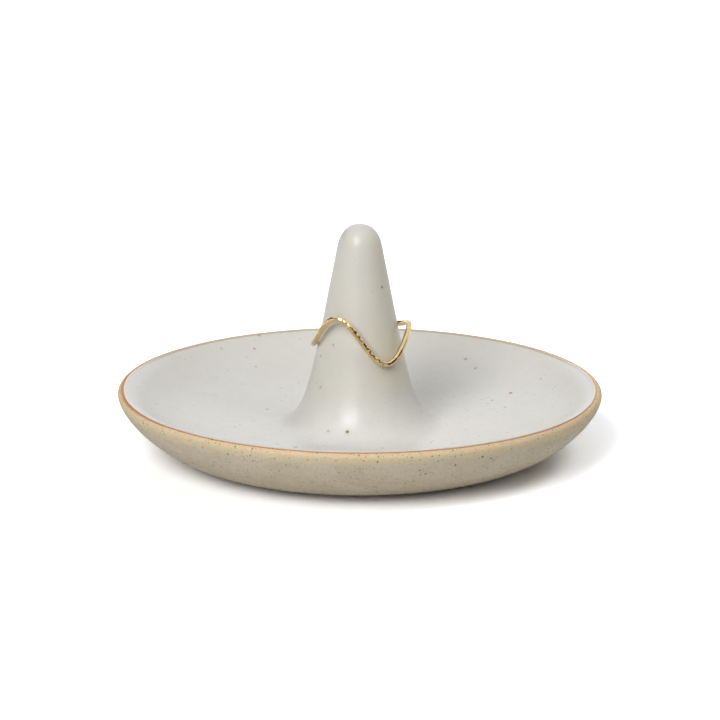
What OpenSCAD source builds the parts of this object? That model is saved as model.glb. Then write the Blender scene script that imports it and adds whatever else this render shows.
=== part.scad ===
// Ring dish: a small stoneware saucer with a glazed cone in its middle, and a finger ring on the cone.
// Millimetres, +Z up. The origin is on the table under the middle of the foot, and the front faces -Y.
// Every clay and glaze piece is a turned shape round the Z axis. Outlines are [radius, height] points.

/* [Saucer] */
// Outside diameter at the widest part of the lip
saucer_d = 100; // [90:1:130]
// Height of the top of the lip above the table
lip_h = 13.8; // [12:0.1:18]
// Radius that rounds the bare lip
lip_round = 1; // [0.7:0.1:1.5]
// Diameter of the flat belly, where the outside starts to curve up
belly_d = 65; // [56:1:74]
// Height of the flat belly above the table
belly_lift = 0.5; // [0.4:0.1:1.5]
// How far the foot stands in from the edge of the flat belly
foot_inset = 1.5; // [1:0.5:4]
// Width of the ring that the foot bears on
foot_w = 4; // [3:0.5:6]
// Height of the hollowed underside above the table
foot_recess = 1; // [0.6:0.1:1.5]
// Bevel on the foot's edges
foot_edge = 0.3; // [0.1:0.1:0.4]

/* [Bowl] */
// Height of the glazed floor above the table, at the foot of the cone
floor_h = 5.4; // [4.5:0.1:7]
// Length of the brink that rolls from the lip into the bowl
brink_len = 3.6; // [2:0.2:6]
// How full the bowl's floor is, as a share of the way out to the lip
bowl_full = 0.75; // [0.55:0.05:0.85]

/* [Cone] */
// Height of the cone's tip above the table
cone_h = 47.8; // [40:0.1:60]
// Height of the rounded tip
tip_len = 4.5; // [3:0.1:6]
// Glazed diameter where the rounded tip starts
tip_d = 9.2; // [8.6:0.1:12]
// Angle of the cone's side from upright
cone_angle = 11; // [9:0.5:13]
// Height of the flare at the foot of the cone
flare_h = 23.2; // [16:0.2:28]
// Glazed diameter where the flare meets the floor
flare_d = 37; // [34:1:44]
// Thickness of the clay between the cone's side and its cavity
cone_wall = 4; // [3:0.25:4.75]
// Depth of solid clay and glaze above the cavity
tip_solid = 9; // [7:0.5:12]

/* [Seam] */
// Height of the collar that the cone is luted on, above the table
collar_h = 9; // [8:0.5:14]
// Thickness of the clay slip between collar and cone
slip_t = 0.4; // [0.2:0.1:0.8]

/* [Glaze] */
// Thickness of the glaze
glaze_t = 0.4; // [0.2:0.05:0.6]
// Thickness of the glaze at its edge on the lip
glaze_edge_t = 0.15; // [0.05:0.05:0.2]

/* [Finger ring] */
// Inside diameter of the ring
ring_bore = 18.5; // [16:0.1:22]
// Diameter of the ring's wire
wire_d = 1.15; // [0.8:0.05:2]
// Height from the ring's lowest trough to its highest crest, along the wire's middle
ring_wave = 9.5; // [4:0.5:12]
// Gap left between the ring and the glaze where they touch
ring_gap = 0.2; // [0.1:0.05:0.4]

/* [Hidden] */
$fn = 96;

clay_color = [0.70, 0.65, 0.56];
slip_color = [0.62, 0.56, 0.47];
glaze_color = [0.85, 0.84, 0.81];
gold_color = [0.83, 0.68, 0.42];

// Steps along each curved stretch of an outline
belly_steps = 16;
lip_steps = 8;
bowl_steps = 20;
collar_steps = 8;
flare_steps = 10;
tip_steps = 12;

// Shapes of the curves, as shares of the stretch that each handle lies along
belly_full = 0.52;
side_full = 0.23;
flare_top_full = 0.66;
flare_foot_full = 0.58;
tip_side_full = 0.54;
tip_top_full = 0.62;

// Direction in which the lip's rounding ends and the glaze starts, from level and outwards
lip_turn = 104;
// Share of the bowl's curve over which the glaze grows from its edge to its full thickness
glaze_fade = 0.12;

// The ring lies a little off the cone's middle
ring_off = [0.33, 0.09];
// The ring's lean and its double, triple and quadruple wave, as [share of ring_wave, direction of a crest]
ring_waves = [[0.128, -74.7], [0.293, 42.9], [0.182, 0.9], [0.098, -20.7]];
ring_stations = 120;
wire_sides = 16;
seat_step = 3;

// Cubic curve through four control points: its point, its direction and its outward normal at t
function bezier(p, t) =
    pow(1 - t, 3) * p[0] + 3 * pow(1 - t, 2) * t * p[1] + 3 * (1 - t) * t * t * p[2] + pow(t, 3) * p[3];
function bezier_dir(p, t) =
    pow(1 - t, 2) * (p[1] - p[0]) + 2 * (1 - t) * t * (p[2] - p[1]) + t * t * (p[3] - p[2]);
function normal_of(d) = [d.y, -d.x] / norm(d);
function curve(p, n) = [for (i = [0 : n]) bezier(p, i / n)];

// A skin is a list of [point, outward normal] pairs, and under() is the outline that deep below it
function skin(p, t0, t1, n) = [
    for (i = [0 : n]) let (t = t0 + (t1 - t0) * i / n) [bezier(p, t), normal_of(bezier_dir(p, t))]
];
function under(s, depth) = [for (e = s) e[0] - depth * e[1]];
function reversed(list) = [for (i = [len(list) - 1 : -1 : 0]) list[i]];
function after_first(list) = [for (i = [1 : len(list) - 1]) list[i]];

// Where the surface under a curve reaches a height: the curve's t, found by halving
function t_under(p, depth, z, lo = 0, hi = 1, left = 24) =
    let (mid = (lo + hi) / 2, at = bezier(p, mid) - depth * normal_of(bezier_dir(p, mid)))
    left == 0 ? mid
    : at.y < z ? t_under(p, depth, z, mid, hi, left - 1)
    : t_under(p, depth, z, lo, mid, left - 1);

// Outside of the saucer, from the foot to the start of the glaze
foot_out = belly_d / 2 - foot_inset;
foot_in = foot_out - foot_w;
lip_mid = [saucer_d / 2 - lip_round, lip_h - lip_round];
lip_way = [cos(lip_turn), sin(lip_turn)];
lip_end = lip_mid + lip_round * lip_way;
belly_curve = [
    [belly_d / 2, belly_lift],
    [belly_d / 2 + belly_full * (saucer_d - belly_d) / 2, belly_lift],
    [saucer_d / 2, lip_mid.y - side_full * (lip_mid.y - belly_lift)],
    [saucer_d / 2, lip_mid.y]
];
lip_arc = [
    for (i = [1 : lip_steps - 1]) let (a = lip_turn * i / lip_steps) lip_mid + lip_round * [cos(a), sin(a)]
];
foot_outline = [
    [foot_in, foot_recess],
    [foot_in, foot_edge],
    [foot_in + foot_edge, 0],
    [foot_out - foot_edge, 0],
    [foot_out, foot_edge],
    [foot_out, belly_lift]
];

// Glazed surface, from the lip over the bowl and up the cone to its tip
bowl_start = lip_end + glaze_edge_t * lip_way;
flare_foot = [flare_d / 2, floor_h];
tip_base = [tip_d / 2, cone_h - tip_len];
flare_top = [tip_base.x + (tip_base.y - floor_h - flare_h) * tan(cone_angle), floor_h + flare_h];
bowl_curve = [
    bowl_start,
    bowl_start + brink_len * [-lip_way.y, lip_way.x],
    [flare_foot.x + bowl_full * (bowl_start.x - flare_foot.x), floor_h],
    flare_foot
];
flare_curve = [
    flare_foot,
    [flare_foot.x - flare_foot_full * (flare_foot.x - flare_top.x), floor_h],
    flare_top + flare_top_full * flare_h * [tan(cone_angle), -1],
    flare_top
];
tip_curve = [
    tip_base,
    tip_base + tip_side_full * tip_len * [-sin(cone_angle), cos(cone_angle)],
    [tip_top_full * tip_base.x, cone_h],
    [0, cone_h]
];

// The clay meets the slip at two heights, and the glaze has a corner at each of them
t_collar = t_under(flare_curve, glaze_t, collar_h);
t_cone = t_under(flare_curve, glaze_t, collar_h + slip_t);
bowl_skin = skin(bowl_curve, 0, 1, bowl_steps);
collar_skin = skin(flare_curve, 0, t_collar, collar_steps);
seam_skin = skin(flare_curve, t_collar, t_cone, 1);
flare_skin = skin(flare_curve, t_cone, 1, flare_steps);
tip_skin = skin(tip_curve, 0, 1, tip_steps);

function glaze_at(t) = glaze_edge_t + (glaze_t - glaze_edge_t) * min(1, t / glaze_fade);
bowl_clay = [for (i = [0 : bowl_steps]) bowl_skin[i][0] - glaze_at(i / bowl_steps) * bowl_skin[i][1]];
collar_clay = under(collar_skin, glaze_t);
seam_clay = under(seam_skin, glaze_t);
flare_clay = under(flare_skin, glaze_t);
tip_clay = under(tip_skin, glaze_t);

// Top and underside of the whole coat of glaze, from the lip to the cone's tip
coat_top = under(
    concat(bowl_skin, after_first(collar_skin), after_first(seam_skin), after_first(flare_skin), tip_skin), 0
);
coat_under = concat(
    bowl_clay, after_first(collar_clay), after_first(seam_clay), after_first(flare_clay), tip_clay
);

// The cavity runs parallel to the cone's side and ends in a round top
function cavity_r(z) = tip_base.x + (tip_base.y - z) * tan(cone_angle) - cone_wall;
cavity_top = cone_h - tip_solid;
cavity_end = [
    for (i = [0 : lip_steps]) let (a = 90 * i / lip_steps)
        [cavity_r(cavity_top) * cos(a), cavity_top + cavity_r(cavity_top) * sin(a)]
];

// Middle of the ring's wire, as heights round the ring, and the height at which it rests on the cone
ring_r = (ring_bore + wire_d) / 2;
function wave_z(a) = ring_wave * wave_sum(a, len(ring_waves));
function wave_sum(a, k) =
    k == 0 ? 0 : ring_waves[k - 1][0] * cos(k * (a - ring_waves[k - 1][1])) + wave_sum(a, k - 1);
function wave_slope(a) = (wave_z(a + 0.5) - wave_z(a - 0.5)) * 180 / PI / ring_r;
ring_track = [
    for (e = concat(collar_skin, flare_skin, tip_skin)) e[0] + (wire_d / 2 + ring_gap) * e[1]
];
ring_seat = max([
    for (a = [0 : seat_step : 359]) let (p = ring_off + ring_r * [cos(a), sin(a)])
        lookup(norm(p), ring_track) - wave_z(a)
]);
function wire_mid(a) = [ring_off.x + ring_r * cos(a), ring_off.y + ring_r * sin(a), ring_seat + wave_z(a)];
function wire_up(a) = let (s = wave_slope(a)) [s * sin(a), -s * cos(a), 1] / norm([s, 1]);
function wire_point(a, b) =
    wire_mid(a) + wire_d / 2 * (cos(b) * [cos(a), sin(a), 0] + sin(b) * wire_up(a));

// Raw clay saucer: foot, belly, bare lip, bowl and the low collar in its middle
module saucer() {
    color(clay_color)
        rotate_extrude()
            polygon(concat(
                [[cavity_r(foot_recess), foot_recess]],
                foot_outline,
                curve(belly_curve, belly_steps),
                lip_arc,
                bowl_clay,
                after_first(collar_clay),
                [[cavity_r(collar_h), collar_h]]
            ));
}

// Thin seam of clay slip that joins the cone to the collar
module luting_slip() {
    color(slip_color)
        rotate_extrude()
            polygon(concat(
                seam_clay,
                [[cavity_r(collar_h + slip_t), collar_h + slip_t], [cavity_r(collar_h), collar_h]]
            ));
}

// Hollow clay cone, open below
module ring_cone() {
    color(clay_color)
        rotate_extrude()
            polygon(concat(
                [[cavity_r(collar_h + slip_t), collar_h + slip_t]],
                flare_clay,
                tip_clay,
                reversed(cavity_end)
            ));
}

// One coat of glaze over the bowl and the cone, thinner at its edge on the lip
module glaze_coat() {
    color(glaze_color)
        rotate_extrude()
            polygon(concat(coat_top, reversed(coat_under)));
}

// Finger ring of round wire, one closed tube that rises and falls round the cone
module wave_ring() {
    points = [
        for (i = [0 : ring_stations - 1]) for (j = [0 : wire_sides - 1])
            wire_point(360 * i / ring_stations, 360 * j / wire_sides)
    ];
    function corner(i, j) = (i % ring_stations) * wire_sides + j % wire_sides;
    faces = [
        for (i = [0 : ring_stations - 1]) for (j = [0 : wire_sides - 1]) for (half = [0, 1])
            half == 0
                ? [corner(i, j), corner(i + 1, j), corner(i + 1, j + 1)]
                : [corner(i, j), corner(i + 1, j + 1), corner(i, j + 1)]
    ];
    color(gold_color)
        polyhedron(points, faces);
}

saucer();
luting_slip();
ring_cone();
glaze_coat();
wave_ring();
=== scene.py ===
"""A stoneware ring dish with a glazed cone and a thin gold ring on it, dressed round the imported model.

Everything is in metres in the model's own frame: +Z up, the front towards -Y, the origin on the table.
Outlines are worked in millimetres as [radius, height] and scaled by MM when a mesh is made.
"""
import math

import bpy
import numpy as np
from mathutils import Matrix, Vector, noise


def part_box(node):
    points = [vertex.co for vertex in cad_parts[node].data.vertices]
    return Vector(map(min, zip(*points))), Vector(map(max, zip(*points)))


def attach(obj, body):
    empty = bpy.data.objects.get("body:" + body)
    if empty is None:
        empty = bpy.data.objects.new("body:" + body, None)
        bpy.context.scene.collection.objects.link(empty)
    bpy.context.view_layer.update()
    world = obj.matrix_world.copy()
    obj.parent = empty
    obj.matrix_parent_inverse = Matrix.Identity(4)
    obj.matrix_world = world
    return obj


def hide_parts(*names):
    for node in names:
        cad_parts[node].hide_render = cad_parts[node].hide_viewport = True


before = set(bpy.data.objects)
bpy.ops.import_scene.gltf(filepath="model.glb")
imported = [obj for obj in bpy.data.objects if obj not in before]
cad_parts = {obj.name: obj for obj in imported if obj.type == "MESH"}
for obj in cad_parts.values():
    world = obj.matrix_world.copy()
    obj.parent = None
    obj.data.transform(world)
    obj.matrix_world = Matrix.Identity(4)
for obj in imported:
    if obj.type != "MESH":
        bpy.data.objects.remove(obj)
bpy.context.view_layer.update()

MM = 0.001


# Sizes of the object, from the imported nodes

def node_size(node):
    """Outside diameter, lowest and highest point of a node, in millimetres."""
    low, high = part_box(node)
    return (high.x - low.x) / MM, low.z / MM, high.z / MM


SAUCER_D, _, LIP_H = node_size("saucer")
CONE_H = node_size("glaze_coat")[2]
LIP_ROUND = 1.0
BELLY_D = 65.0
BELLY_LIFT = 0.5
FOOT_INSET = 1.5
FOOT_W = 4.0
FOOT_RECESS = 1.0
FOOT_EDGE = 0.3
FLOOR_H = 5.4
BRINK_LEN = 3.6
BOWL_FULL = 0.75
TIP_LEN = 4.5
TIP_D = 9.2
CONE_ANGLE = math.radians(11)
FLARE_H = 23.2
FLARE_D = 37.0
CONE_WALL = 4.0
TIP_SOLID = 9.0
COLLAR_H = 9.0
SLIP_T = 0.4
GLAZE_T = 0.4
GLAZE_EDGE_T = 0.15
BELLY_FULL = 0.52
SIDE_FULL = 0.23
FLARE_TOP_FULL = 0.66
FLARE_FOOT_FULL = 0.58
TIP_SIDE_FULL = 0.54
TIP_TOP_FULL = 0.62
LIP_TURN = math.radians(104)
GLAZE_FADE = 0.12
RING_R = 9.825
WIRE_R = 0.575
RING_OFF = (0.33, 0.09)
RING_SEAT = 24.3015
RING_WAVE = 9.5
RING_WAVES = ((0.128, -74.7), (0.293, 42.9), (0.182, 0.9), (0.098, -20.7))
AROUND = 384


# Outlines

def bezier(p, t):
    """Points of a cubic curve at the values t, and the outward normals there."""
    p = np.asarray(p, float)
    t = np.asarray(t, float)[:, None]
    at = (1 - t) ** 3 * p[0] + 3 * (1 - t) ** 2 * t * p[1] + 3 * (1 - t) * t * t * p[2] + t ** 3 * p[3]
    way = (1 - t) ** 2 * (p[1] - p[0]) + 2 * (1 - t) * t * (p[2] - p[1]) + t * t * (p[3] - p[2])
    way /= np.linalg.norm(way, axis=1)[:, None]
    return at, np.stack([way[:, 1], -way[:, 0]], 1)


LIP_MID = np.array([SAUCER_D / 2 - LIP_ROUND, LIP_H - LIP_ROUND])
LIP_WAY = np.array([math.cos(LIP_TURN), math.sin(LIP_TURN)])
BELLY_CURVE = [
    (BELLY_D / 2, BELLY_LIFT),
    (BELLY_D / 2 + BELLY_FULL * (SAUCER_D - BELLY_D) / 2, BELLY_LIFT),
    (SAUCER_D / 2, LIP_MID[1] - SIDE_FULL * (LIP_MID[1] - BELLY_LIFT)),
    (SAUCER_D / 2, LIP_MID[1]),
]
BOWL_START = LIP_MID + (LIP_ROUND + GLAZE_EDGE_T) * LIP_WAY
FLARE_FOOT = np.array([FLARE_D / 2, FLOOR_H])
TIP_BASE = np.array([TIP_D / 2, CONE_H - TIP_LEN])
FLARE_TOP = np.array([
    TIP_BASE[0] + (TIP_BASE[1] - FLOOR_H - FLARE_H) * math.tan(CONE_ANGLE), FLOOR_H + FLARE_H,
])
BOWL_CURVE = [
    BOWL_START,
    BOWL_START + BRINK_LEN * np.array([-LIP_WAY[1], LIP_WAY[0]]),
    (FLARE_FOOT[0] + BOWL_FULL * (BOWL_START[0] - FLARE_FOOT[0]), FLOOR_H),
    FLARE_FOOT,
]
FLARE_CURVE = [
    FLARE_FOOT,
    (FLARE_FOOT[0] - FLARE_FOOT_FULL * (FLARE_FOOT[0] - FLARE_TOP[0]), FLOOR_H),
    FLARE_TOP + FLARE_TOP_FULL * FLARE_H * np.array([math.tan(CONE_ANGLE), -1]),
    FLARE_TOP,
]
TIP_CURVE = [
    TIP_BASE,
    TIP_BASE + TIP_SIDE_FULL * TIP_LEN * np.array([-math.sin(CONE_ANGLE), math.cos(CONE_ANGLE)]),
    (TIP_TOP_FULL * TIP_BASE[0], CONE_H),
    (0, CONE_H),
]


def glaze_at(t):
    """Thickness of the glaze along the bowl's curve, from its edge on the lip."""
    return GLAZE_EDGE_T + (GLAZE_T - GLAZE_EDGE_T) * np.minimum(1, np.asarray(t) / GLAZE_FADE)


def cavity_r(z):
    """Radius of the hollow under the cone at a height."""
    return TIP_BASE[0] + (TIP_BASE[1] - z) * math.tan(CONE_ANGLE) - CONE_WALL


def bowl_outline(depth_share):
    """The bowl from the lip to the foot of the cone, that share of the glaze's thickness below its surface."""
    t = np.linspace(0, 1, 97)
    at, out = bezier(BOWL_CURVE, t)
    return at - (depth_share * glaze_at(t))[:, None] * out


def cone_outline(depth_share):
    """The cone from the foot of its flare to its tip, that share of the glaze's thickness below its surface."""
    parts = []
    for curve, steps in ((FLARE_CURVE, 81), (TIP_CURVE, 41)):
        at, out = bezier(curve, np.linspace(0, 1, steps))
        parts.append(at - depth_share * GLAZE_T * out)
    straight = np.linspace(parts[0][-1], parts[1][0], 18)[1:-1]
    return np.concatenate([parts[0], straight, parts[1]])


def arc(middle, radius, start, end, steps):
    """Points of an arc, both ends included, with angles in radians from level and outwards."""
    a = np.linspace(start, end, steps)
    return np.stack([middle[0] + radius * np.cos(a), middle[1] + radius * np.sin(a)], 1)


# Meshes

def smooth(value, low, high):
    t = min(1, max(0, (value - low) / (high - low)))
    return t * t * (3 - 2 * t)


def settled(r, z, a):
    """Where a turned point ends up on the fired dish: a little inwards, and the lip a little down on the right."""
    slow = noise.noise(Vector((math.cos(a), math.sin(a), 0.35)) * 1.3)
    rings = noise.noise(Vector((math.cos(a) * 0.25, math.sin(a) * 0.25, z * 0.9 + 7)))
    inward = (0.025 * (1 + slow) + 0.012 * (1 + rings)) * min(1, r / 20)
    sway = noise.noise(Vector((math.cos(a) * 1.1, math.sin(a) * 1.1, 5)))
    down = (0.2 + 0.16 * math.cos(a) + 0.03 * sway) * smooth(r, 34, 48)
    return r - inward, z - down


def lathe(name, rows, closed=True):
    """A turned mesh. Each row is one circle as AROUND pairs of radius and height, in millimetres, or its axis point."""
    verts, index = [], []
    for row in rows:
        if len(row) == 1:
            index.append([len(verts)] * AROUND)
            verts.append((0, 0, row[0][1] * MM))
            continue
        ring = []
        for i, (r, z) in enumerate(row):
            a = 2 * math.pi * i / AROUND
            r, z = settled(r, z, a)
            ring.append(len(verts))
            verts.append((r * math.cos(a) * MM, r * math.sin(a) * MM, z * MM))
        index.append(ring)
    pairs = list(zip(index, index[1:]))
    if closed:
        pairs.append((index[-1], index[0]))
    faces = []
    for low, high in pairs:
        for i in range(AROUND):
            j = (i + 1) % AROUND
            face = []
            for v in (low[i], low[j], high[j], high[i]):
                if v not in face:
                    face.append(v)
            if len(face) > 2:
                faces.append(face)
    return mesh_object(name, verts, faces)


def even(outline):
    """Rows for lathe from one outline that is the same all round."""
    return [[(r, z)] if r < 1e-4 else [(r, z)] * AROUND for r, z in outline]


def mesh_object(name, verts, faces):
    """A smooth-shaded object from vertices and faces, with its faces turned outwards."""
    mesh = bpy.data.meshes.new(name)
    mesh.from_pydata([tuple(v) for v in verts], [], faces)
    mesh.validate()
    mesh.update()
    obj = bpy.data.objects.new(name, mesh)
    bpy.context.scene.collection.objects.link(obj)
    volume = sum(
        mesh.vertices[p.vertices[0]].co.dot(mesh.vertices[p.vertices[1]].co.cross(mesh.vertices[p.vertices[2]].co))
        for p in mesh.polygons
    )
    if volume < 0:
        mesh.flip_normals()
    mesh.polygons.foreach_set("use_smooth", [True] * len(mesh.polygons))
    return obj


# Node materials

def linear(*rgb):
    """An sRGB colour given as 0 to 255, as the linear colour that the shader takes."""
    out = []
    for c in rgb:
        c /= 255
        out.append(c / 12.92 if c <= 0.04045 else ((c + 0.055) / 1.055) ** 2.4)
    return (*out, 1.0)


class Tree:
    """Short calls for the nodes of one material or of the world."""

    def __init__(self, holder, output="ShaderNodeOutputMaterial", place="Object"):
        holder.use_nodes = True
        self.links = holder.node_tree.links
        self.nodes = holder.node_tree.nodes
        self.nodes.clear()
        self.out = self.nodes.new(output).inputs[0]
        self.place = self.nodes.new("ShaderNodeTexCoord").outputs[place]

    def principled(self):
        self.shader = self.nodes.new("ShaderNodeBsdfPrincipled")
        self.link(self.shader.outputs[0], self.out)

    def link(self, a, b):
        self.links.new(a, b)

    def put(self, socket, value):
        """Sets a socket to a value, or links it to another node's output."""
        if isinstance(value, bpy.types.NodeSocket):
            self.link(value, socket)
        else:
            socket.default_value = value

    def set(self, **values):
        for key, value in values.items():
            self.put(self.shader.inputs[key.replace("_", " ")], value)

    def math(self, kind, a, b=0.0, c=0.0, clamp=False):
        n = self.nodes.new("ShaderNodeMath")
        n.operation = kind
        n.use_clamp = clamp
        for socket, value in zip(n.inputs, (a, b, c)):
            self.put(socket, value)
        return n.outputs[0]

    def ramp(self, value, low, high, to_low=0.0, to_high=1.0, kind="SMOOTHSTEP"):
        n = self.nodes.new("ShaderNodeMapRange")
        n.interpolation_type = kind
        for key, v in zip(("Value", "From Min", "From Max", "To Min", "To Max"), (value, low, high, to_low, to_high)):
            self.put(n.inputs[key], v)
        return n.outputs[0]

    def mix(self, amount, a, b, kind="MIX"):
        n = self.nodes.new("ShaderNodeMix")
        n.data_type = "RGBA"
        n.blend_type = kind
        self.put(n.inputs["Factor"], amount)
        self.put(n.inputs[6], a)
        self.put(n.inputs[7], b)
        return n.outputs[2]

    def noise(self, size_mm, detail=2.0, rough=0.5, shift=(0, 0, 0), stretch=(1, 1, 1)):
        """Noise whose features are about size_mm across, from 0 to 1."""
        n = self.nodes.new("ShaderNodeTexNoise")
        n.inputs["Scale"].default_value = 1 / (size_mm * MM)
        n.inputs["Detail"].default_value = detail
        n.inputs["Roughness"].default_value = rough
        self.put(n.inputs["Vector"], self.moved(shift, stretch))
        return n.outputs["Fac"]

    def moved(self, shift, stretch=(1, 1, 1)):
        n = self.nodes.new("ShaderNodeMapping")
        n.inputs["Location"].default_value = [s * MM for s in shift]
        n.inputs["Scale"].default_value = stretch
        self.link(self.place, n.inputs["Vector"])
        return n.outputs[0]

    def cells(self, size_mm, shift=(0, 0, 0)):
        """Distance to the nearest scattered point in millimetres, and two random numbers for that point."""
        n = self.nodes.new("ShaderNodeTexVoronoi")
        n.inputs["Scale"].default_value = 1 / (size_mm * MM)
        self.put(n.inputs["Vector"], self.moved(shift))
        split = self.nodes.new("ShaderNodeSeparateColor")
        self.link(n.outputs["Color"], split.inputs[0])
        return self.math("MULTIPLY", n.outputs["Distance"], size_mm), split.outputs[0], split.outputs[1]

    def specks(self, size_mm, share, small, large, soft, shift=(0, 0, 0), warp=0.0):
        """A mask of specks: one in a share of the cells of size_mm, with radii in millimetres from small to large."""
        far, pick, size = self.cells(size_mm, shift)
        if warp:
            far = self.math("ADD", far, self.math("MULTIPLY", self.math("SUBTRACT", self.noise(0.3), 0.5), warp))
        radius = self.ramp(size, 0, 1, small, large, "LINEAR")
        inside = self.math("SUBTRACT", radius, far)
        mask = self.ramp(inside, -soft, soft)
        return self.math("MULTIPLY", mask, self.math("LESS_THAN", pick, share))

    def spots(self, places, spread=1.0):
        """A mask of single spots, each at x, y and z in millimetres with its radius and strength."""
        mask = None
        for x, y, z, radius, strength in places:
            n = self.nodes.new("ShaderNodeVectorMath")
            n.operation = "DISTANCE"
            self.link(self.place, n.inputs[0])
            n.inputs[1].default_value = (x * MM, y * MM, z * MM)
            radius *= spread * MM
            spot = self.ramp(n.outputs["Value"], radius * 1.5, radius * 0.4, 0, strength)
            mask = spot if mask is None else self.math("MAXIMUM", mask, spot)
        return mask

    def split_place(self):
        n = self.nodes.new("ShaderNodeSeparateXYZ")
        self.link(self.place, n.inputs[0])
        return n.outputs

    def dot(self, direction):
        n = self.nodes.new("ShaderNodeVectorMath")
        n.operation = "DOT_PRODUCT"
        self.link(self.place, n.inputs[0])
        n.inputs[1].default_value = direction
        return n.outputs["Value"]

    def background(self, color):
        n = self.nodes.new("ShaderNodeBackground")
        self.put(n.inputs["Color"], color)
        return n.outputs[0]

    def either(self, amount, a, b):
        """One shader or the other."""
        n = self.nodes.new("ShaderNodeMixShader")
        for socket, value in zip(n.inputs, (amount, a, b)):
            self.link(value, socket)
        return n.outputs[0]

    def bump(self, height, depth_mm, strength=1.0):
        n = self.nodes.new("ShaderNodeBump")
        n.inputs["Distance"].default_value = depth_mm * MM
        n.inputs["Strength"].default_value = strength
        self.put(n.inputs["Height"], height)
        return n.outputs[0]


def painted(name):
    material = bpy.data.materials.new(name)
    t = Tree(material)
    t.painted = material
    t.principled()
    return t


def stoneware_material():
    """Raw buff stoneware: grey-brown body full of iron specks, peach-yellow and then scorched towards the glaze."""
    t = painted("stoneware")
    n = t.nodes.new("ShaderNodeAttribute")
    n.attribute_name = "bare"
    bare = n.outputs["Fac"]
    body = t.mix(t.ramp(t.noise(7, 3, 0.55), 0.35, 0.65), linear(*CLAY), linear(*CLAY_GREEN))
    body = t.mix(t.ramp(t.noise(1.5, 3, 0.65, (9, 0, 0)), 0.4, 0.7, 0, 0.45), body, linear(*CLAY_LIGHT))
    wander = t.math("MULTIPLY", t.math("SUBTRACT", t.noise(1.6, 4, 0.7, (0, 5, 0)), 0.5), 2.4)
    slow = t.math("MULTIPLY", t.math("SUBTRACT", t.noise(12, 2, 0.5, (0, 1, 0)), 0.5), 2.0)
    away = t.math("ADD", bare, t.math("ADD", wander, slow))
    warm = t.mix(t.ramp(t.noise(2.6, 3, 0.6, (3, 3, 3)), 0.4, 0.65), linear(*PEACH), linear(*PEACH_YELLOW))
    body = t.mix(t.ramp(away, 1.9, 3.4, 1, 0), body, linear(*FRINGE))
    body = t.mix(t.ramp(away, 0.9, 2.2, 1, 0), body, warm)
    across = t.split_place()["X"]
    width = t.ramp(across, -49 * MM, -36 * MM, 2.0, 1.0)
    depth = t.ramp(across, 38 * MM, 49 * MM, 0.95, 0.6)
    scorch = t.ramp(t.math("DIVIDE", t.math("ADD", bare, t.math("MULTIPLY", wander, 0.09)), width), 0.2, 0.45, 1, 0)
    body = t.mix(t.math("MULTIPLY", scorch, depth), body, linear(*SCORCHED))
    rusty = t.math("MULTIPLY", t.specks(0.7, 0.4, 0.08, 0.18, 0.05, (5, 5, 2), 0.1), t.ramp(bare, 1.2, 2.6, 0.6, 0))
    body = t.mix(rusty, body, linear(176, 112, 66))
    crowd = t.ramp(t.noise(5, 2, 0.5, (2, 0, 2)), 0.38, 0.6, 0.25, 1)
    fine = t.math("MULTIPLY", t.specks(0.42, 0.55, 0.05, 0.14, 0.03, (1, 2, 3), 0.1), crowd)
    coarse = t.specks(0.9, 0.6, 0.1, 0.22, 0.04, (4, 2, 9), 0.2)
    large = t.specks(1.9, 0.4, 0.16, 0.28, 0.05, (3, 9, 4), 0.25)
    pale = t.specks(1.1, 0.4, 0.05, 0.2, 0.08, (7, 7, 1), 0.1)
    body = t.mix(t.math("MULTIPLY", pale, 0.3), body, linear(214, 206, 188))
    body = t.mix(t.math("MULTIPLY", fine, 0.65), body, linear(120, 100, 76))
    body = t.mix(t.math("MULTIPLY", coarse, t.ramp(crowd, 0.25, 1, 0.35, 0.7, "LINEAR")), body, linear(112, 96, 74))
    body = t.mix(t.math("MULTIPLY", large, 0.8), body, linear(84, 70, 52))
    grain = t.noise(0.4, 3, 0.65, (0, 0, 5))
    body = t.mix(t.ramp(grain, 0.3, 0.7, 0, 0.16, "LINEAR"), body, linear(138, 124, 100))
    pits = t.math("SUBTRACT", grain, t.math("MULTIPLY", t.math("MAXIMUM", coarse, large), 0.9))
    t.set(Base_Color=body, Roughness=t.ramp(grain, 0.3, 0.7, 0.68, 0.84, "LINEAR"))
    t.put(t.shader.inputs["Normal"], t.bump(pits, 0.05))
    return t.painted


CLAY = (206, 194, 173)
CLAY_GREEN = (197, 186, 160)
CLAY_LIGHT = (214, 203, 180)
FRINGE = (211, 198, 164)
PEACH = (224, 197, 160)
PEACH_YELLOW = (222, 203, 164)
SCORCHED = (196, 132, 86)


def slip_material():
    """Fired clay slip, the colour of the clay's heart."""
    t = painted("slip")
    t.set(Base_Color=t.mix(t.noise(1.2, 3), linear(150, 134, 112), linear(168, 152, 128)), Roughness=0.85)
    t.put(t.shader.inputs["Normal"], t.bump(t.noise(0.4, 3), 0.05))
    return t.painted


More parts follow.
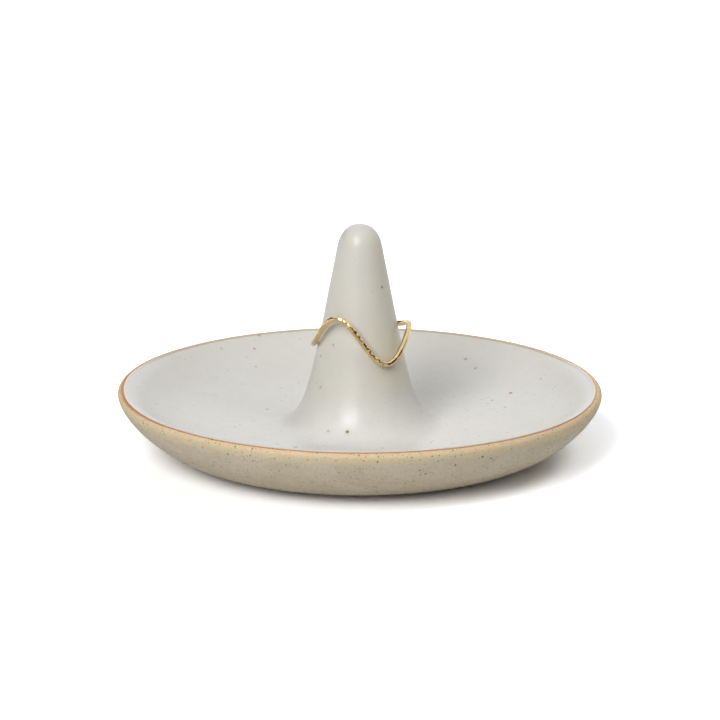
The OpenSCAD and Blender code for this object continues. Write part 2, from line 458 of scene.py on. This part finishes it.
OLIVE_SPOTS = (
    (4.5, -4, 35.5, 0.22, 1.0), (-5.5, -6.5, 24, 0.2, 0.85), (-8, -4, 21, 0.24, 0.5), (-8, -6.5, 15, 0.3, 0.35),
    (-2.5, -13.5, 7.5, 0.32, 1.0), (-6.5, -12.5, 7.5, 0.25, 0.7), (-13, -17.5, 5.5, 0.4, 0.6), (23, 35.5, 10, 0.4, 0.4),
    (-22, 42.5, 13.5, 0.35, 0.45),
)
BROWN_SPOTS = ((32, 16.5, 7.5, 0.4, 1.0), (-19.5, 11, 5.5, 0.4, 0.6), (-12.5, 45.5, 13.5, 0.3, 0.5))
GREY_SPOTS = (
    (2.5, -4.5, 41.5, 0.2, 0.45), (2.5, -5.5, 35, 0.2, 0.4), (5, -7, 24, 0.24, 0.55), (28, 14.5, 6.5, 0.3, 0.7),
    (30.5, 9, 6.5, 0.3, 0.7), (25, 31.5, 9, 0.28, 0.8), (38.5, 18.5, 10, 0.3, 0.5), (20, 19.5, 6, 0.3, 0.4),
    (14.5, -14, 5.5, 0.3, 0.7), (-23, 38.5, 11.5, 0.3, 0.7), (-30, 35, 12.5, 0.3, 0.45), (-22.5, 33, 9, 0.28, 0.5),
    (-28.5, 29, 9, 0.28, 0.45), (-24.5, 35.5, 10.5, 0.28, 0.25), (-25, 24.5, 7.5, 0.35, 0.3), (-13, 44, 12.5, 0.25, 0.6),
    (-20, 43, 13.5, 0.25, 0.4),
)
# Olive for painted shade on the cone's right side, away from the key light
PAINTED_SHADE_OLIVE = (212, 207, 189)
LIP_FALL = 0.0036
GLAZE_TONES = ((213, 211, 207), (211, 208, 198), (205, 203, 197))


def glaze_material():
    """Satin off-white glaze with iron specks burnt through it, with painted shade on the cone's right side and painted
    light on the lip's brink.
    """
    t = painted("glaze")
    cool, warm, grey = (linear(*tone) for tone in GLAZE_TONES)
    place = t.split_place()
    high = t.ramp(place["Z"], 6 * MM, 16 * MM)
    tone = t.mix(t.math("MAXIMUM", t.ramp(t.noise(14, 3, 0.5), 0.35, 0.65, 0, 0.5), high), cool, warm)
    # Painted shade: the cone's right side, away from the key light, is tinted olive as if warm light bounced into its
    # shade
    on_cone = t.ramp(place["Z"], 13 * MM, 19 * MM)
    tone = t.mix(t.math("MULTIPLY", on_cone, t.ramp(place["X"], 0, 6 * MM)), tone, linear(*PAINTED_SHADE_OLIVE))
    tone = t.mix(t.ramp(t.noise(3.5, 3, 0.6, (5, 5, 5)), 0.4, 0.7, 0, 0.35), tone, grey)
    # Painted light: the glaze just inside the lip on the left and right is made paler, as if its brink caught the lamps
    painted_brink_light = t.math("MULTIPLY", t.ramp(t.math("ABSOLUTE", place["X"]), 38 * MM, 47 * MM),
                 t.ramp(place["Z"], 11.4 * MM, 13 * MM))
    tone = t.mix(painted_brink_light, tone, linear(222, 220, 216))
    faint = t.specks(1.6, 0.3, 0.08, 0.24, 0.08, (2, 8, 1), 0.2)
    dark = t.specks(3.2, 0.35, 0.08, 0.2, 0.05, (6, 1, 2), 0.15)
    tone = t.mix(t.math("MULTIPLY", faint, 0.2), tone, linear(150, 140, 118))
    tone = t.mix(t.math("MULTIPLY", dark, 0.5), tone, linear(132, 124, 98))
    tone = t.mix(t.spots(GREY_SPOTS), tone, linear(120, 114, 96))
    tone = t.mix(t.spots(BROWN_SPOTS), tone, linear(140, 90, 58))
    under_crest = t.math("MULTIPLY_ADD", place["X"], LIP_FALL, place["Z"])
    thin = t.math("MULTIPLY", t.ramp(under_crest, 13.36 * MM, 13.5 * MM), t.ramp(place["Y"], 10 * MM, 30 * MM))
    tone = t.mix(t.math("MULTIPLY", thin, 0.75), tone, linear(182, 160, 136))
    tone = t.mix(t.math("MULTIPLY", t.spots(OLIVE_SPOTS, 2.2), 0.35), tone, linear(186, 180, 122))
    tone = t.mix(t.spots(OLIVE_SPOTS), tone, linear(88, 82, 30))
    ripple = t.noise(0.9, 3, 0.55, (1, 1, 4))
    swell = t.noise(6, 2, 0.5, (8, 1, 4))
    height = t.math("ADD", t.math("MULTIPLY", ripple, 0.35), t.math("MULTIPLY", swell, 0.6))
    t.set(Base_Color=tone, Roughness=t.ramp(ripple, 0.3, 0.7, 0.27, 0.35, "LINEAR"))
    t.put(t.shader.inputs["Normal"], t.bump(height, 0.014))
    return t.painted


def gold_material():
    """Polished gold wire, slightly worn between the hammer marks."""
    t = painted("gold")
    wear = t.noise(0.5, 3, 0.6)
    t.set(Base_Color=t.mix(t.ramp(wear, 0.35, 0.7), linear(231, 206, 157), linear(217, 189, 137)))
    t.set(Metallic=1.0, Roughness=t.ramp(wear, 0.3, 0.7, 0.05, 0.09, "LINEAR"))
    # The hammer's marks are deepest along the front, where the wire falls
    across = t.split_place()["X"]
    front = t.math("MULTIPLY", t.ramp(across, -6 * MM, -2 * MM, 0.3, 1), t.ramp(across, 8 * MM, 5 * MM, 0.3, 1))
    t.put(t.shader.inputs["Normal"], t.bump(t.math("MULTIPLY", t.noise(1.0, 0, 0.5), front), 0.3))
    return t.painted


# The pieces

def glaze_edge(i):
    """Direction on the lip's rounding at which the glaze ends, as an angle from level, for one of AROUND places."""
    a = 2 * math.pi * i / AROUND
    from_front = abs((math.degrees(a) + 90 + 180) % 360 - 180)
    wave = 5 * noise.noise(Vector((math.cos(a), math.sin(a), 0)) * 5)
    wave += 2.5 * noise.noise(Vector((math.cos(a), math.sin(a), 3)) * 22)
    back = 32 * smooth(from_front, 50, 95) + 13 * smooth(from_front, 95, 130)
    return math.radians(77 + back + 5 * max(0, math.cos(a)) ** 4 + wave)


def make_saucer():
    foot_out = BELLY_D / 2 - FOOT_INSET
    foot_in = foot_out - FOOT_W
    foot = [
        (cavity_r(FOOT_RECESS), FOOT_RECESS),
        (foot_in, FOOT_RECESS),
        (foot_in, FOOT_EDGE),
        *arc((foot_in + FOOT_EDGE, FOOT_EDGE), FOOT_EDGE, math.pi, 1.5 * math.pi, 6)[1:],
        *arc((foot_out - FOOT_EDGE, FOOT_EDGE), FOOT_EDGE, 1.5 * math.pi, 2 * math.pi, 6),
        (foot_out, BELLY_LIFT),
    ]
    belly = bezier(BELLY_CURVE, 1 - np.linspace(1, 0, 90) ** 1.3)[0]
    lip = arc(LIP_MID, LIP_ROUND, 0, LIP_TURN, 33)[1:-1]
    collar = cone_outline(1)
    edge = np.interp(COLLAR_H, collar[:60, 1], collar[:60, 0])
    collar = collar[collar[:, 1] < COLLAR_H - 0.05]
    top = [(edge, COLLAR_H), (cavity_r(COLLAR_H), COLLAR_H)]
    outline = np.concatenate([foot, belly, lip, bowl_outline(1), collar[1:], top])
    obj = lathe("saucer_clay", even(outline))
    # How far each point is from the edge of the glaze, along the clay and in millimetres, for the bare lip's colours
    along = np.concatenate([[0], np.cumsum(np.linalg.norm(np.diff(outline, axis=0), axis=1))])
    turn = along[len(foot) + len(belly) + len(lip)]
    edges = [(LIP_TURN - glaze_edge(i)) * LIP_ROUND for i in range(AROUND)]
    values = [turn - here - out for here in along for out in edges]
    obj.data.attributes.new("bare", "FLOAT", "POINT").data.foreach_set("value", values)
    return obj


def make_cone():
    low = COLLAR_H + SLIP_T
    side = cone_outline(1)
    edge = np.interp(low, side[:60, 1], side[:60, 0])
    side = side[side[:, 1] > low + 0.05]
    side[-1, 0] = 0
    top = CONE_H - TIP_SOLID
    roof = arc((0, top), cavity_r(top), math.pi / 2, 0, 12)
    roof[0, 0] = 0
    return lathe("cone_clay", even(np.concatenate([[(cavity_r(low), low), (edge, low)], side, roof])))


def make_glaze():
    # The clay's surface from the crest of the lip to the foot of the cone, its normals and the glaze's thickness
    turns = np.linspace(math.radians(60), LIP_TURN, 60)
    way = np.stack([np.cos(turns), np.sin(turns)], 1)
    t = np.linspace(0, 1, 97)
    bowl, out = bezier(BOWL_CURVE, t)
    clay = np.concatenate([LIP_MID + LIP_ROUND * way, (bowl - glaze_at(t)[:, None] * out)[1:]])
    normal = np.concatenate([way, out[1:]])
    thick = np.concatenate([np.full(60, GLAZE_EDGE_T), glaze_at(t)[1:]])
    along = np.concatenate([[0], np.cumsum(np.linalg.norm(np.diff(clay, axis=0), axis=1))])
    crest = along[59]
    rest = along > crest + 3

    def at(where, lift):
        """Points over the clay, at distances along it, for a share of the glaze's thickness and a bead at its edge."""
        p = np.stack([np.interp(where, along, clay[:, k]) for k in (0, 1)], 1)
        n = np.stack([np.interp(where, along, normal[:, k]) for k in (0, 1)], 1)
        n /= np.linalg.norm(n, axis=1)[:, None]
        return p + n * (lift * np.interp(where, along, thick))[:, None]

    columns = []
    for i in range(AROUND):
        start = crest - (LIP_TURN - glaze_edge(i)) * LIP_ROUND
        where = start + (crest + 3 - start) * np.linspace(0, 1, 25) ** 1.7
        bead = 1 + 0.5 * np.exp(-((where - start - 0.12) / 0.2) ** 2)
        over = at(where, bead)
        under = at(where, 0 * bead)
        middle, tip = (over[0] + under[0]) / 2, (over[0] - under[0]) / 2
        side = np.array([tip[1], -tip[0]])
        turn = np.linspace(0, math.pi, 9)[1:-1, None]
        round_end = middle - tip * np.cos(turn) + side * np.sin(turn)
        columns.append(np.concatenate([round_end, over, under[::-1]]))
    columns = np.array(columns)
    over = np.concatenate([at(along[rest], 1 + 0 * along[rest]), cone_outline(0)[1:]])
    under = np.concatenate([at(along[rest], 0 * along[rest]), cone_outline(1)[1:]])
    over[-1, 0] = under[-1, 0] = 0
    rows = [[tuple(p) for p in columns[:, k]] for k in range(7 + 25)]
    rows += even(over) + even(under[::-1])
    rows += [[tuple(p) for p in columns[:, k]] for k in range(7 + 25, columns.shape[1])]
    return lathe("glaze_skin", rows)


def make_ring():
    """The finger ring: round wire that rises and falls, planished with a small flat hammer along its outside."""
    stations, sides = 720, 40

    def height(a):
        return RING_SEAT + RING_WAVE * sum(
            share * math.cos(k * (a - math.radians(crest))) for k, (share, crest) in enumerate(RING_WAVES, 1)
        )

    rng = np.random.default_rng(5)
    flats = []
    for k in range(46):
        flats.append((
            (k + rng.uniform(-0.25, 0.25)) * 2 * math.pi / 46,
            math.radians(rng.uniform(-28, 52)),
            rng.uniform(0.88, 0.96),
            rng.uniform(0.7, 1.1),
        ))
    verts, faces = [], []
    for i in range(stations):
        a = 2 * math.pi * i / stations
        slope = (height(a + 0.005) - height(a - 0.005)) / 0.01 / RING_R
        up = Vector((slope * math.sin(a), -slope * math.cos(a), 1)).normalized()
        out = Vector((math.cos(a), math.sin(a), 0))
        middle = Vector((RING_OFF[0] + RING_R * math.cos(a), RING_OFF[1] + RING_R * math.sin(a), height(a)))
        for j in range(sides):
            b = 2 * math.pi * j / sides
            r = 1.0
            for at, facing, deep, length in flats:
                along = ((a - at + math.pi) % (2 * math.pi) - math.pi) * RING_R / length
                if abs(along) < 1.2:
                    cut = math.cos(b - facing)
                    if cut > 0.3:
                        r = min(r, (deep + (1 - deep) * min(1, abs(along)) ** 2.5 + max(0, abs(along) - 1)) / cut)
            verts.append((middle + WIRE_R * r * (math.cos(b) * out + math.sin(b) * up)) * MM)
    for i in range(stations):
        for j in range(sides):
            n, m = (i + 1) % stations, (j + 1) % sides
            faces.append((i * sides + j, n * sides + j, n * sides + m, i * sides + m))
    return mesh_object("gold_wire", verts, faces)


# The floor, the light and the camera

def make_floor():
    size = 1.5
    verts = [(-size, -size, 0), (size, -size, 0), (size, size, 0), (-size, size, 0)]
    obj = mesh_object("floor", verts, [(0, 1, 2, 3)])
    obj.location.z = -0.00002
    t = painted("paper")
    path = t.nodes.new("ShaderNodeLightPath").outputs
    mirrored = t.math("MAXIMUM", path["Is Glossy Ray"], path["Is Transmission Ray"])
    ahead = t.ramp(t.math("MULTIPLY", t.split_place()["Y"], -1.0), *FLOOR_DIM)
    # Painted shade in mirrors: in front of the dish the paper is dimmed for mirror rays, standing in for the dark room
    bright = t.mix(ahead, (FLOOR_MIRRORED,) * 3 + (1,), FLOOR_MIRRORED_SHADE)
    shown = t.mix(path["Is Camera Ray"], t.mix(mirrored, (FLOOR_GREY,) * 3 + (1,), bright), FLOOR_SEEN)
    paper = t.nodes.new("ShaderNodeBsdfDiffuse")
    t.link(shown, paper.inputs["Color"])
    t.link(paper.outputs[0], t.out)
    t.nodes.remove(t.shader)
    obj.data.materials.append(t.painted)


# The paper's colour for light that bounces off it, in mirrors, and for the camera
FLOOR_GREY = 0.82
FLOOR_MIRRORED = 1.1
FLOOR_SEEN = (1.55, 1.58, 1.65, 1)
# How far in front of the dish the paper turns to its painted dim colour in mirrors, in metres
FLOOR_DIM = (0.06, 0.22)
# Painted shade in mirrors: the paper's colour in front of the dish as the gold and glaze mirror it, darker and warmer
# than the paper
FLOOR_MIRRORED_SHADE = (0.4, 0.37, 0.32, 1)
AMBIENT = 0.0


def make_world():
    """White all round where it is seen or mirrored, but for the dim room behind the camera."""
    world = bpy.data.worlds.new("studio")
    bpy.context.scene.world = world
    t = Tree(world, "ShaderNodeOutputWorld", "Generated")
    way = t.split_place()
    ahead = t.ramp(t.math("MULTIPLY", way["Y"], -1.0), *ROOM_FRONT)
    room = t.math("MULTIPLY", t.math("MULTIPLY", ahead, t.ramp(way["Z"], ROOM_TOP[1], ROOM_TOP[0])), ROOM_SHADE)
    for azimuth, height, wide, tall in DARK_PARTS:
        a, e = math.radians(azimuth), math.radians(height)
        ahead = (math.sin(a) * math.cos(e), -math.cos(a) * math.cos(e), math.sin(e))
        across = (math.cos(a), math.sin(a), 0)
        upwards = (-math.sin(a) * math.sin(e), math.cos(a) * math.sin(e), math.cos(e))
        x = t.math("DIVIDE", t.dot(across), math.sin(math.radians(wide)))
        y = t.math("DIVIDE", t.dot(upwards), math.sin(math.radians(tall)))
        far = t.math("SQRT", t.math("ADD", t.math("MULTIPLY", x, x), t.math("MULTIPLY", y, y)))
        part = t.math("MULTIPLY", t.ramp(far, 1.2, 0.85), t.math("GREATER_THAN", t.dot(ahead), 0.0))
        room = t.math("MAXIMUM", room, part)
    white = (1, 1, 1, 1)
    mirrored = t.background(t.mix(room, white, ROOM_COLOUR))
    path = t.nodes.new("ShaderNodeLightPath").outputs
    seen = t.math("MAXIMUM", path["Is Camera Ray"], path["Is Transmission Ray"])
    other = t.either(path["Is Glossy Ray"], t.background((AMBIENT,) * 3 + (1,)), mirrored)
    t.link(t.either(seen, other, t.background(white)), t.out)


# The dim room that a mirror sees in front: how far forward it begins and is full, how high it is full and ends, as
# shares of the direction's length, and how dim it is. Its dark parts: azimuth, height, half width and half height.
ROOM_FRONT = (-0.3, 0.2)
ROOM_TOP = (0.5, 0.75)
ROOM_SHADE = 0.4
ROOM_COLOUR = (0.085, 0.055, 0.03, 1)
DARK_PARTS = ((46, 10, 58, 14), (-112, 20, 45, 14))


def make_sun(name, azimuth, height, width, strength, mirrored=False):
    """A soft lamp far away. Azimuth 0 is behind the camera and 90 on the right, in degrees, as is the width."""
    data = bpy.data.lights.new(name, "SUN")
    data.energy = strength
    data.angle = math.radians(width)
    obj = bpy.data.objects.new(name, data)
    a, e = math.radians(azimuth), math.radians(height)
    way = Vector((math.sin(a) * math.cos(e), -math.cos(a) * math.cos(e), math.sin(e)))
    obj.rotation_mode = "QUATERNION"
    obj.rotation_quaternion = way.to_track_quat("Z", "Y")
    obj.location = way * 0.5
    obj.visible_glossy = mirrored
    obj.visible_diffuse = not mirrored
    bpy.context.scene.collection.objects.link(obj)
    return obj


# Name, azimuth, height, width and strength of each lamp. Only the window is seen in mirrors, and it lights nothing else.
LAMPS = (
    ("key_low", -20, 22, 32, 0.47),
    ("key", -30, 32, 30, 0.62),
    ("key_high", -30, 42, 30, 1.17),
    ("side", -40, 55, 20, 0.2),
    ("top", 0, 89, 30, 0.38),
    ("right", 60, 60, 20, 0.45),
    ("right_low", 60, 30, 20, 0.11),
    ("right_back", 100, 60, 20, 0.17),
    ("back_right", 140, 30, 20, 0.4),
    ("back", 180, 15, 20, 0.98),
    ("window", -20, 38, 27, 1.1, True),
)


def make_camera():
    """The photograph's view: 0.7 m away, 16.24 degrees above the table, the dish a little below the middle."""
    far, rise, aim_up = 0.7, math.radians(16.24), math.radians(1.472)
    pixels_per_mm, side = 4.8105, 720
    data = bpy.data.cameras.new("camera")
    data.sensor_width = 36.0
    data.lens = pixels_per_mm * far / MM * math.cos(aim_up) / side * data.sensor_width
    data.clip_start, data.clip_end = 0.05, 20
    obj = bpy.data.objects.new("camera", data)
    obj.location = (0.00005, -far * math.cos(rise), far * math.sin(rise) + BELLY_LIFT * MM)
    obj.rotation_euler = (math.pi / 2 - rise + aim_up, 0, 0)
    bpy.context.scene.collection.objects.link(obj)
    bpy.context.scene.camera = obj


stoneware = stoneware_material()
slip = slip_material()
glaze = glaze_material()
gold = gold_material()

for maker, node, body, material, slot in (
    (make_saucer, "saucer", "dish", stoneware, "stoneware"),
    (make_cone, "ring_cone", "dish", stoneware, "stoneware"),
    (make_glaze, "glaze_coat", "dish", glaze, "glaze"),
    (make_ring, "wave_ring", "ring", gold, "gold"),
):
    piece = maker()
    piece.data.materials.append(material)
    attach(piece, body)
    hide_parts(node)

slip_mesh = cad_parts["luting_slip"].data
slip_mesh.materials.clear()
slip_mesh.materials.append(slip)

make_floor()
make_world()
for lamp in LAMPS:
    make_sun(*lamp)
make_camera()
bpy.context.scene.view_settings.view_transform = "Standard"
